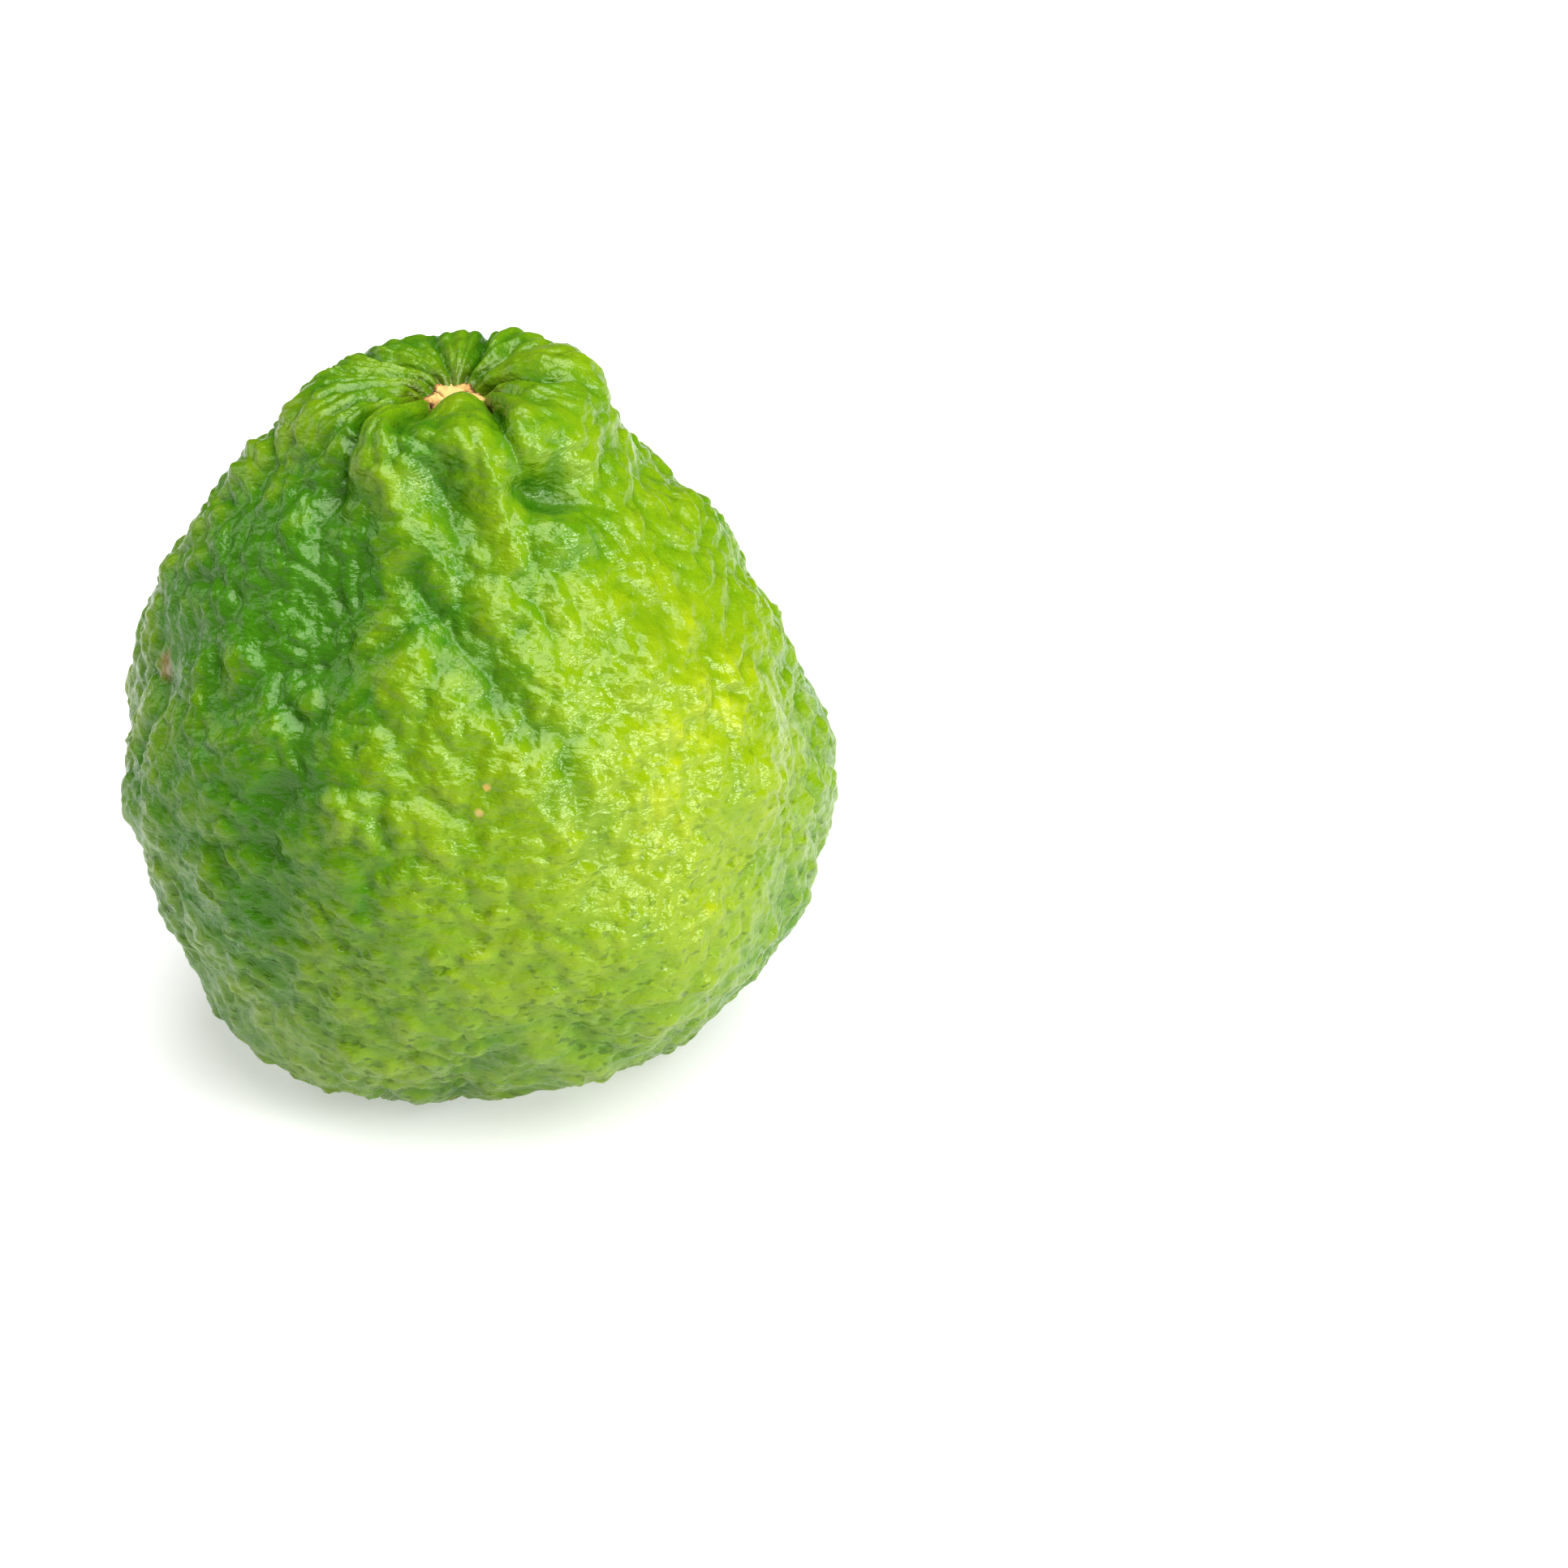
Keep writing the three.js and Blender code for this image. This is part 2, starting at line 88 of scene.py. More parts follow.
# From the crater's floor over its rim and down to the middle of the underside: radius, height.
OUTLINE = [
    (0, CRATER_HEIGHT),
    (CRATER_RADIUS, CRATER_HEIGHT + 0.2),
    (CREST_RADIUS - 4.2, CREST_HEIGHT - 0.9),
    (CREST_RADIUS, CREST_HEIGHT),
    (CREST_RADIUS + 3.4, CREST_HEIGHT - 1),
    (NECK_RADIUS, NECK_HEIGHT),
    (NECK_RADIUS + 6.2, NECK_HEIGHT - 6.9),
    (BELLY_RADIUS - 4.7, BELLY_HEIGHT + 18),
    (BELLY_RADIUS - 0.8, BELLY_HEIGHT + 8),
    (BELLY_RADIUS, BELLY_HEIGHT - 2),
    (BELLY_RADIUS - 3.6, BELLY_HEIGHT - 13.4),
    (BELLY_RADIUS - 12.4, 4.6),
    (9.4, -0.2),
    (0, UNDERSIDE_HEIGHT),
]
OUTLINE_STEPS = 4001
# The axis leans to -X, the belly bulges back over to +X, and so does the crater in the crown.
# Here and below, travel is the way along the outline from its start, and a pair of travels,
# heights or distances is where a change starts and where it is complete.
LEAN = -1.4
BULGE = 2.1
BULGE_HEIGHT = 23
BULGE_SPREAD = 16
CRATER_SHIFT = 0.9
CRATER_SHIFT_ENDS = (4, 12)


def spline(points, shares):
    """A uniform Catmull-Rom curve through the points, at shares of the way along its points."""
    known = np.asarray(points, float)
    place = np.clip(shares, 0, 1) * (len(known) - 1)
    start = np.minimum(np.floor(place).astype(int), len(known) - 2)
    t = (place - start)[:, None]
    before = known[np.maximum(start - 1, 0)]
    here = known[start]
    there = known[start + 1]
    after = known[np.minimum(start + 2, len(known) - 1)]
    leave = (there - before) / 2
    arrive = (after - here) / 2
    cubic = 2 * here - 2 * there + leave + arrive
    square = -3 * here + 3 * there - 2 * leave - arrive
    return cubic * t**3 + square * t**2 + leave * t + here


outline = spline(OUTLINE, np.linspace(0, 1, OUTLINE_STEPS))
outline_travel = np.concatenate([[0], np.cumsum(np.linalg.norm(np.diff(outline, axis=0), axis=1))])
outline_slope = np.gradient(outline, outline_travel, axis=0)
OUTLINE_LENGTH = outline_travel[-1]


def ease(low, high, values):
    """0 at low, 1 at high, and smooth between."""
    t = np.clip((values - low) / (high - low), 0, 1)
    return t * t * (3 - 2 * t)


def smooth_fruit(travel, azimuth):
    """Points and outward normals of the smooth fruit, a travel down its outline."""
    radius, height = (np.interp(travel, outline_travel, outline[:, k]) for k in (0, 1))
    run, rise = (np.interp(travel, outline_travel, outline_slope[:, k]) for k in (0, 1))
    steep = np.hypot(run, rise)
    middle = LEAN + BULGE * np.exp(-(((height - BULGE_HEIGHT) / BULGE_SPREAD) ** 2))
    middle += CRATER_SHIFT * (1 - ease(*CRATER_SHIFT_ENDS, travel))
    across = np.cos(azimuth)
    back = np.sin(azimuth)
    points = np.stack([middle + radius * across, radius * back, height], -1)
    normals = np.stack([-rise * across, -rise * back, run], -1) / steep[..., None]
    return points, normals


def on_rind(places):
    """Points of the smooth fruit at azimuths and heights, on its outside below the crest."""
    degrees, heights = np.asarray(places, float).T
    crest = np.argmax(outline[:, 1])
    travel = np.interp(-heights, -outline[crest:, 1], outline_travel[crest:])
    return smooth_fruit(travel, np.radians(degrees))[0]


def hump(points, place, reach):
    """1 at a place on the rind, and almost 0 from twice its reach on."""
    away = np.linalg.norm(points - on_rind([place]), axis=1)
    return np.exp(-((away / reach) ** 2))


def draw(index, seed):
    """A random number from 0 to 1, the same each time."""
    value = np.sin(index * 12.9898 + seed * 78.233) * 43758.5453
    return value - np.floor(value)


def ripple(points, wavelength, seed, waves=6):
    """An even, wandering wave through space, mostly between -2 and 2."""
    total = np.zeros(len(points))
    for wave in range(waves):
        up = 1 - (2 * wave + 1) / waves
        turn = 2.4 * wave + 1.7 * seed
        flat = math.sqrt(1 - up * up)
        along = points @ np.array([flat * math.cos(turn), flat * math.sin(turn), up])
        length = wavelength * (1 + 0.13 * wave)
        total += np.sin(2 * math.pi * along / length + 2.1 * seed + 1.3 * wave)
    return total / math.sqrt(waves / 2)


def crease(t):
    """The line where two round swellings meet: 1 at its bottom, 0 from t = 1 on."""
    left = np.clip(1 - t, 0, 1)
    return 1 - np.sqrt(1 - left * left)


# The creases between the crown's lobes: azimuth, depth and how far down they run.
CROWN_CREASES = [
    (38, 0.7, 15),
    (63, 2.4, 24),
    (98, 1.4, 17),
    (126, 1.9, 22),
    (150, 1, 18),
    (178, 1.5, 19),
    (203, 1.4, 20),
    (224, 2.4, 27),
    (248, 1.9, 19),
    (303, 2.3, 21),
    (328, 0.5, 14),
    (354, 1.7, 20),
]
# How much higher than the smooth fruit each lobe stands, in the order of the crease before it.
LOBE_HEIGHTS = [0.2, -0.1, -0.2, 0, -0.1, 0.2, 0, 0.3, 0.5, 0.5, 0.3, 0.3]
# Creases and lobes keep their full size for this share of their way down.
CREASE_FULL = 0.35
LOBE_FULL = 0.4
# The creases meet this far behind the crater's middle, until they straighten at a travel, and
# begin at this distance from where they meet.
CREASES_MEET = 1.6
CREASES_STRAIGHTEN = (3, 10)
CREASES_BEGIN = (0.6, 3.6)
# They wander to the sides by so many degrees, once they are some way down. A wave is given as
# its wavelength and seed.
CREASE_WANDER = 4.5
CREASE_WAVE = (8, 3)
CREASES_WANDER = (4, 10)
# The front lobe also leans in over the crater: azimuth, travel, reach and rise.
LEANING_LOBE = (-86, 4.2, 2.8, 1)
# Narrow pleats run out over the lobes. They wander by a share of their width.
PLEATS = 40
PLEAT_DEPTH = 0.6
PLEAT_WANDER = 0.6
PLEAT_WAVE = (9, 4)
PLEATS_BEGIN = (1.5, 4)
PLEATS_END = (11, 19)
# They are deeper in some patches than in others: the mean and least share, and the change.
PLEAT_MEAN = 0.6
PLEAT_LEAST = 0.3
PLEAT_CHANGE = 0.4
PLEAT_PATCHES = (14, 11)


def fade(full, end, travel):
    """1 for the full share of the way to the end, and 0 from the end on."""
    return 1 - ease(full * end, end, travel)


def crown_relief(points, travel, azimuth):
    """The lobes that fold in round the stalk, and the narrow pleats over them."""
    starts, depths, ends = np.array(CROWN_CREASES, float).T
    widths = np.mod(np.roll(starts, -1) - starts, 360)
    out = np.interp(travel, outline_travel, outline[:, 0])
    across = out * np.cos(azimuth)
    back = out * np.sin(azimuth) - CREASES_MEET * (1 - ease(*CREASES_STRAIGHTEN, travel))
    from_meeting = np.hypot(across, back)
    turned = np.degrees(np.arctan2(back, across))
    wander = CREASE_WANDER * ripple(points, *CREASE_WAVE) * ease(*CREASES_WANDER, travel)
    degrees = np.mod(turned + wander - starts[0], 360) + starts[0]
    before = np.searchsorted(starts, degrees, side="right") - 1
    after = (before + 1) % len(starts)
    t = (degrees - starts[before]) / widths[before]
    folds = depths[before] * crease(2 * t) * fade(CREASE_FULL, ends[before], travel)
    folds += depths[after] * crease(2 * (1 - t)) * fade(CREASE_FULL, ends[after], travel)
    lobe_end = (ends[before] + ends[after]) / 2
    lobe = np.array(LOBE_HEIGHTS)[before] * np.sin(math.pi * t) * fade(LOBE_FULL, lobe_end, travel)
    turn = np.mod(turned * PLEATS / 360 + PLEAT_WANDER * ripple(points, *PLEAT_WAVE), 1)
    patchy = np.clip(PLEAT_MEAN + PLEAT_CHANGE * ripple(points, *PLEAT_PATCHES), PLEAT_LEAST, 1)
    pleat = PLEAT_DEPTH * patchy * crease(2 * np.abs(turn - 0.5))
    pleat *= ease(*PLEATS_BEGIN, from_meeting) * (1 - ease(*PLEATS_END, travel))
    lean_azimuth, lean_travel, lean_reach, lean_rise = LEANING_LOBE
    leaning_lobe = smooth_fruit(np.array(lean_travel), math.radians(lean_azimuth))[0]
    away = np.linalg.norm(points - leaning_lobe, axis=1)
    leaning = np.exp(-((away / lean_reach) ** 4))
    pleat *= 1 - leaning
    return (lobe - folds) * ease(*CREASES_BEGIN, from_meeting) + lean_rise * leaning - pleat


# Broad swells: azimuth and height of the middle, reach and rise.
SWELLS = [
    ((8, 66.8), 5, 1.4),
    ((-4, 58), 4.5, -1.1),
    ((18, 55.2), 3.5, -1.2),
    ((-6, 48), 9, 1.3),
    ((2, 40.3), 5, 1.1),
    ((172, 60.8), 5, 1.2),
    ((169, 52.5), 4.5, -1.2),
    ((-158, 31.5), 5, 0.9),
    ((-160, 22), 5, 0.6),
    ((-145, 9), 8, 0.3),
    ((-104, 52), 6, 1),
    ((-56, 59.3), 3.2, 1.5),
    ((-52, 62.2), 3, -1.3),
    ((-94, 64), 2.8, -0.8),
    ((-96, 59.4), 3.4, 1),
    ((-117, 60), 3.2, 0.8),
    ((-136, 57.6), 3.6, 0.9),
    ((-40, 65.4), 4, 0.5),
    ((-44, 7), 8, 0.2),
    ((-92, 3), 10, -0.5),
]


def swell_relief(points):
    """The broad swells that make the fruit uneven."""
    relief = np.zeros(len(points))
    for place, reach, rise in SWELLS:
        relief += rise * hump(points, place, reach)
    return relief


# The longer furrows: azimuth and height of their points, half the width and the depth, which
# is less than 0 for a ridge.
FURROWS = [
    ([(-139, 65), (-128, 60.5), (-123, 55), (-120, 44), (-124, 36), (-126, 18)], 5, 1.4),
    ([(-101, 57.5), (-90, 53.6), (-82, 50), (-75, 46), (-72, 42)], 4, 1.3),
    ([(-73, 43), (-70, 36), (-71, 30)], 2.8, 0.6),
    ([(-66, 63.4), (-53, 62), (-38, 61.8)], 2.6, 1.6),
    ([(-98, 68), (-96, 65.5), (-89, 62), (-84, 58)], 3.2, 1.3),
    ([(-94, -0.5), (-94, 5), (-92, 11), (-88, 15), (-90, 20)], 3.2, 1.1),
    ([(-92, 20), (-82, 20.4), (-75, 17), (-66, 13), (-60, 8)], 2.8, 0.6),
    ([(-48, 56), (-38, 49), (-32, 40)], 3.2, 0.4),
    ([(-65, 61.8), (-53, 61), (-41, 60.9)], 1.4, 0.8),
    ([(-115, 67), (-114, 65), (-110, 62.6), (-105, 60)], 2.6, -0.9),
    ([(-79, 67.5), (-75, 65.6), (-71, 63.6), (-72, 61), (-73, 58)], 2.8, -1),
    ([(13, 61), (20, 52), (18, 43), (24, 34)], 3.6, 0.8),
    ([(38, 62), (46, 54), (44, 44), (50, 33), (49, 22)], 4, 1),
    ([(84, 60), (80, 51), (86, 42), (82, 30)], 3.6, 0.8),
    ([(122, 63), (118, 55), (124, 45), (120, 35), (126, 24)], 4, 1),
    ([(158, 60), (164, 50), (160, 40), (166, 30)], 3.6, 0.8),
    ([(-162, 56), (-158, 46), (-160, 36), (-155, 26)], 3.4, 0.6),
    ([(30, 15), (26, 8), (30, 3)], 3.2, 0.7),
    ([(88, 16), (92, 8), (88, 3)], 3.2, 0.8),
    ([(150, 15), (146, 8), (150, 3)], 3.2, 0.7),
]
# A furrow's width changes by a share, and it is a soft dip with a narrower crease along its
# middle: the crease's share of the width and of the depth. It stops growing shallower at a last
# share of its way, so that its ends aren't sharp.
FURROW_CHANGE = 0.25
FURROW_WAVE = (7, 21)
FURROW_LEAST = 0.4
FURROW_CREASE_WIDTH = 0.7
FURROW_CREASE_DEPTH = 0.2
FURROW_ENDS = 0.04


def furrow_relief(points):
    """The longer furrows, each deepest half-way along."""
    widening = np.maximum(1 + FURROW_CHANGE * ripple(points, *FURROW_WAVE), FURROW_LEAST)
    relief = np.zeros(len(points))
    for line, reach, depth in FURROWS:
        corners = on_rind(line)
        lengths = np.linalg.norm(np.diff(corners, axis=0), axis=1)
        passed = np.concatenate([[0], np.cumsum(lengths)])
        nearest = np.full(len(points), np.inf)
        share = np.zeros(len(points))
        for k, length in enumerate(lengths):
            stretch = corners[k + 1] - corners[k]
            t = np.clip((points - corners[k]) @ stretch / length**2, 0, 1)
            away = np.linalg.norm(points - corners[k] - t[:, None] * stretch, axis=1)
            closer = away < nearest
            nearest = np.where(closer, away, nearest)
            share = np.where(closer, (passed[k] + t * length) / passed[-1], share)
        taper = np.sqrt(np.sin(math.pi * np.clip(share, FURROW_ENDS, 1 - FURROW_ENDS)))
        middle = crease(nearest / (FURROW_CREASE_WIDTH * reach * widening))
        dip = np.exp(-2 * (nearest / reach) ** 2)
        relief -= depth * taper * (FURROW_CREASE_DEPTH * middle + (1 - FURROW_CREASE_DEPTH) * dip)
    return relief


# The bumps: size across, wander of the edges, how much they lie flat, height on the belly and on
# the shoulder, how soft the creases between them are, and seed.
SWELLINGS = (6.4, 1.2, 1, 0.4, 0.72, 2, 10)
WARTS = (3.3, 0.9, 1, 0.42, 0.46, 1.6, 20)
GRAIN = (2, 0.6, 1.9, 0.28, 0.24, 1.4, 30)
SHOULDER = (24, 50)
BUMPS_BEGIN = (8, 17)
# In shares of the size or height: how far a bump stands from its even place, the wavelength of
# its edge, its least height, and how far the creases lie under the smooth fruit.
BUMP_SCATTER = 0.8
BUMP_EDGE_WAVES = 2.2
BUMP_LEAST = 0.5
BUMP_CREASES = 0.4
# The smoother places, such as where the rind is drawn in: azimuth and height of the middle,
# reach, and how much of the bumps is gone there.
CALM = [
    ((-53, 62.2), 3, 0.85),
    ((-97, 64), 2.4, 0.85),
    ((-88, 60.5), 2, 0.6),
    ((-137, 63.5), 2.6, 0.7),
    ((-50, 44), 26, 0.35),
]


def scatter(size, seed):
    """Centres of bumps, in rows round the fruit, each moved a little from its even place."""
    rows = round(OUTLINE_LENGTH / size)
    centres = []
    for row in range(rows):
        even = (row + 0.5) / rows * OUTLINE_LENGTH
        around = 2 * math.pi * np.interp(even, outline_travel, outline[:, 0])
        count = max(1, round(around / size))
        index = len(centres) + np.arange(count)
        down = BUMP_SCATTER * (draw(index, seed) - 0.5)
        sideways = BUMP_SCATTER * (draw(index, seed + 1) - 0.5)
        travel = (row + 0.5 + down) / rows * OUTLINE_LENGTH
        turn = (np.arange(count) + 0.5 * (row % 2) + sideways) / count
        centres.extend(smooth_fruit(np.clip(travel, 0, OUTLINE_LENGTH), 2 * math.pi * turn)[0])
    return np.array(centres)


def bump_height(points, size, wander, flatness, softness, seed):
    """Bumps that meet in creases, from -0.4 in the creases up to 1.1 on the highest."""
    centres = scatter(size, seed)
    tree = KDTree(len(centres))
    for index, centre in enumerate(centres * (1, 1, flatness)):
        tree.insert(centre, index)
    tree.balance()
    shifts = [wander * ripple(points, BUMP_EDGE_WAVES * size, seed + k) for k in (5, 6, 7)]
    moved = (points + np.stack(shifts, -1)) * (1, 1, flatness)
    nearest = np.empty((len(points), 3))
    for k, point in enumerate(moved):
        (_, owner, first), (_, _, second) = tree.find_n(point, 2)
        nearest[k] = first, second, owner
    t = nearest[:, 0] / nearest[:, 1]
    tallness = BUMP_LEAST + draw(nearest[:, 2], seed + 3)
    return (1 - t * t) ** softness * tallness - BUMP_CREASES


def bump_relief(points, travel):
    """Swellings, warts and grain together, less high in the calm places."""
    shoulder = ease(*SHOULDER, points[:, 2])
    relief = np.zeros(len(points))
    for size, wander, flatness, belly, top, softness, seed in (SWELLINGS, WARTS, GRAIN):
        height = belly + (top - belly) * shoulder
        relief += height * bump_height(points, size, wander, flatness, softness, seed)
    for place, reach, share in CALM:
        relief *= 1 - share * hump(points, place, reach)
    return relief * ease(*BUMPS_BEGIN, travel)


# Fine wrinkles over the bumps: distance apart, height, how much they lie flat, and wander.
WRINKLES = 2.3
WRINKLE_HEIGHT = 0.08
WRINKLE_FLATNESS = 1.6
WRINKLE_WANDER = 0.8
WRINKLE_WANDER_WAVES = 6
WRINKLE_SEED = 40


def wrinkle_relief(points):
    """Fine wavy wrinkles that lie flat round the fruit."""
    seeds = range(WRINKLE_SEED, WRINKLE_SEED + 3)
    shifts = [WRINKLE_WANDER * ripple(points, WRINKLE_WANDER_WAVES, seed) for seed in seeds]
    moved = points * (1, 1, WRINKLE_FLATNESS) + np.stack(shifts, -1)
    return WRINKLE_HEIGHT * ripple(moved, WRINKLES, WRINKLE_SEED + 4)


def mesh_object(name, mesh):
    """A smooth-shaded object in the scene."""
    mesh.shade_smooth()
    piece = bpy.data.objects.new(name, mesh)
    bpy.context.scene.collection.objects.link(piece)
    return piece


# The long waves of the rind: wavelength, height and seed.
LONG_WAVES = [(24, 0.5, 1), (13, 0.28, 2), (8, 0.16, 7)]
LONG_WAVES_BEGIN = (3, 12)
# Each edge of a 20-sided ball is cut so many times, which makes 192,080 triangles. They lie
# closer at the crown, where the creases are narrow.
EDGE_CUTS = 97
CROWN_CROWDING = 1.22

ball = bmesh.new()
bmesh.ops.create_icosphere(ball, subdivisions=1, radius=1)
bmesh.ops.subdivide_edges(ball, edges=ball.edges[:], cuts=EDGE_CUTS, use_grid_fill=True)
rind_mesh = bpy.data.meshes.new("rind")
ball.to_mesh(rind_mesh)
ball.free()

directions = np.empty(3 * len(rind_mesh.vertices))
rind_mesh.vertices.foreach_get("co", directions)
directions = directions.reshape(-1, 3)
directions /= np.linalg.norm(directions, axis=1)[:, None]
share = np.arccos(np.clip(directions[:, 2], -1, 1)) / math.pi
travel = share**CROWN_CROWDING * OUTLINE_LENGTH
azimuth = np.arctan2(directions[:, 1], directions[:, 0])
skin, normals = smooth_fruit(travel, azimuth)
bumps = bump_relief(skin, travel)
folds = crown_relief(skin, travel, azimuth) + furrow_relief(skin)
relief = bumps + folds + swell_relief(skin) + wrinkle_relief(skin)
for wavelength, height, seed in LONG_WAVES:
    relief += height * ripple(skin, wavelength, seed) * ease(*LONG_WAVES_BEGIN, travel)
rind_points = skin + relief[:, None] * normals
rind_points[:, 2] = np.maximum(rind_points[:, 2], 0)
rind_mesh.vertices.foreach_set("co", (rind_points * MM).ravel())

# How ripe the rind is, from deep green at 0 to yellow-green at 1: azimuth and height of the
# middle of each patch, reach and rise. Broken by waves: wavelength, height and seed.
GREEN_EVERYWHERE = 0.3
RIPER = [
    ((-34, 44), 17, 0.26),
    ((-52, 34), 17, 0.24),
    ((-82, 28), 20, 0.18),
    ((-140, 36), 18, -0.1),
    ((150, 30), 22, 0.2),
    ((-172, 45), 20, -0.14),
    ((-128, 56), 12, -0.16),
    ((-170, 66.5), 9, 0.08),
    ((0, 66.5), 9, 0.08),
    ((-100, 8), 22, 0.02),
    ((70, 60), 16, -0.05),
]
RIPENESS_WAVES = [(17, 0.04, 51), (7, 0.03, 52)]
# Painted shade is darkest where a hollow is this deep, and folds count for less in it than bumps.
DARKEST_SHADE_HOLLOW = 1.2
FOLDS_IN_HOLLOW = 0.6
# The rind dried round the stalk's end, as far as this from its middle, and most in the creases.
DRIED_ROUND_STALK = (2.8, 6)
DRIED_EVERYWHERE = 0.4
DRIED_BY_DEPTH = 1.1


def point_values(mesh, name, values):
    """Keeps one value a vertex, for a material to read by its name."""
    kept = mesh.attributes.new(name, "FLOAT", "POINT")
    kept.data.foreach_set("value", np.asarray(values, np.float32))


ripeness = np.full(len(skin), GREEN_EVERYWHERE)
for place, reach, rise in RIPER:
    ripeness += rise * hump(skin, place, reach)
ripeness += sum(rise * ripple(skin, length, seed) for length, rise, seed in RIPENESS_WAVES)
# The hollow value, which the material turns into painted shade in the creases.
hollow_shade = np.clip(-(bumps + FOLDS_IN_HOLLOW * folds) / DARKEST_SHADE_HOLLOW, -1, 1)
from_stalk = np.hypot(rind_points[:, 0] - LEAN - CRATER_SHIFT, rind_points[:, 1])
near_stalk = 1 - ease(*DRIED_ROUND_STALK, from_stalk)
near_stalk *= np.clip(DRIED_EVERYWHERE - DRIED_BY_DEPTH * folds, 0, 1)
near_stalk *= rind_points[:, 2] > NECK_HEIGHT
point_values(rind_mesh, "ripeness", ripeness)
point_values(rind_mesh, "hollow_shade", hollow_shade)
point_values(rind_mesh, "near_stalk", near_stalk)
rind = mesh_object("rind", rind_mesh)

# The rind's colours from unripe to riper, painted crease shade, and glands and dried places.
RIND_COLOURS = [(0, "#386a05"), (0.34, "#618005"), (0.7, "#768b06"), (1, "#98a210")]
CREASE_SHADE_GREEN = "#2f5a0a"
GLAND_GREEN = "#38560a"
STALK_BROWN = "#3d3a12"
# In millimetres, how far apart the patterns in the rind repeat, and how deep the finest is. The
# last is how flat the glands and the finest wrinkles lie.
PATCHES = 6
MOTTLE = 1.6
GLANDS = 1.15
RAGGED_EDGES = 0.6
FINEST_WRINKLES = 1.0
FINEST_WRINKLE_DEPTH = 0.25
GLANDS_LIE_FLAT = 1.8
# Scabs and specks, and last the scar that the blossom left under the fruit: azimuth and height,
# radius, how dense, and colour.
MARKS = [
    ((-140, 38.2), 0.5, 0.9, "#d8c23a"),
    ((-163, 44.5), 1.7, 0.7, "#7d5a2c"),
    ((-112, 39.6), 0.28, 1, "#18260a"),
    ((-86, 42.7), 0.5, 0.6, "#cf9a62"),
    ((-84, 42.3), 0.4, 0.5, "#d8a878"),
    ((-88, 40.6), 0.45, 0.5, "#d2a878"),
    ((-99, 9.4), 0.7, 0.9, "#7a5a20"),
    ((-134, 30.2), 0.32, 1, "#24360c"),
    ((-132, 65.3), 0.5, 0.7, "#c9d6a0"),
    ((-96, 3.5), 0.7, 0.9, "#9a6a30"),
    ((35, 30), 0.9, 0.8, "#8a6a34"),
    ((120, 22), 0.7, 0.8, "#a58a4a"),
    ((0, UNDERSIDE_HEIGHT), 2.1, 0.85, "#5f4a22"),
]


def linear(hex_colour):
    """An sRGB hex colour as linear red, green, blue and full alpha."""
    channels = [int(hex_colour[k:k + 2], 16) / 255 for k in (1, 3, 5)]
    return [c / 12.92 if c <= 0.04045 else ((c + 0.055) / 1.055) ** 2.4 for c in channels] + [1]


def node(tree, kind, settings, output=0):
    """Adds a node with its options and inputs, given as values or linked sockets; one output."""
    made = tree.nodes.new("ShaderNode" + kind)
    for name, value in settings.items():
        if isinstance(value, bpy.types.NodeSocket):
            tree.links.new(value, made.inputs[name])
        elif isinstance(name, str) and hasattr(made, name):
            setattr(made, name, value)
        else:
            made.inputs[name].default_value = value
    return made.outputs[output]


# Waxy citrus rind: shiny over a wavy surface, so that it glints on every bump. Its green turns
# yellower where it is riper, and painted shade darkens it in the hollows.
waxy_rind = bpy.data.materials.new("waxy_citrus_rind")
waxy_rind.use_nodes = True
tree = waxy_rind.node_tree
shader = tree.nodes["Principled BSDF"]
position = node(tree, "TexCoord", {}, "Object")
ripe = node(tree, "Attribute", {"attribute_name": "ripeness"}, "Fac")
painted_shade = node(tree, "Attribute", {"attribute_name": "hollow_shade"}, "Fac")
by_stalk = node(tree, "Attribute", {"attribute_name": "near_stalk"}, "Fac")
patches = node(tree, "TexNoise", {"Vector": position, "Scale": 1 / (PATCHES * MM), "Detail": 3.0})
mottle = node(tree, "TexNoise", {"Vector": position, "Scale": 1 / (MOTTLE * MM), "Detail": 2.0})
# Patches and mottle vary the tone; the hollow value paints shade in hollows, light on crests.
shade = ripe
for source, low, high, least, most in (
    (patches, 0.3, 0.7, -0.07, 0.07),
    (mottle, 0.3, 0.7, -0.1, 0.1),
    (painted_shade, -0.4, 0.8, 0.04, -0.3),
):
    change = node(tree, "MapRange", {
        "Value": source,
        "From Min": low,
        "From Max": high,
        "To Min": least,
        "To Max": most,
    })
    shade = node(tree, "Math", {"operation": "ADD", 0: shade, 1: change})
skin_colour = node(tree, "ValToRGB", {"Fac": shade}, "Color")
stops = skin_colour.node.color_ramp.elements
while len(stops) < len(RIND_COLOURS):
    stops.new(0.5)
for stop, (place, colour) in zip(stops, RIND_COLOURS):
    stop.position = place
    stop.color = linear(colour)

# Oil glands show as small dark specks that lie flat, most of them on the lower half.
flat_lying = node(tree, "Mapping", {"Vector": position, "Scale": (1, 1, GLANDS_LIE_FLAT)})
specks = node(tree, "TexNoise", {"Vector": flat_lying, "Scale": 1 / (GLANDS * MM), "Detail": 1.0})
pits = node(tree, "MapRange", {
    "Value": specks,
    "From Min": 0.3,
    "From Max": 0.4,
    "To Min": 1.0,
    "To Max": 0.0,
})
height = node(tree, "SeparateXYZ", {0: position}, "Z")
low_down = node(tree, "MapRange", {
    "Value": height,
    "From Min": 16 * MM,
    "From Max": 46 * MM,
    "To Min": 0.7,
    "To Max": 0.15,
})
pits = node(tree, "Math", {"operation": "MULTIPLY", 0: pits, 1: low_down})
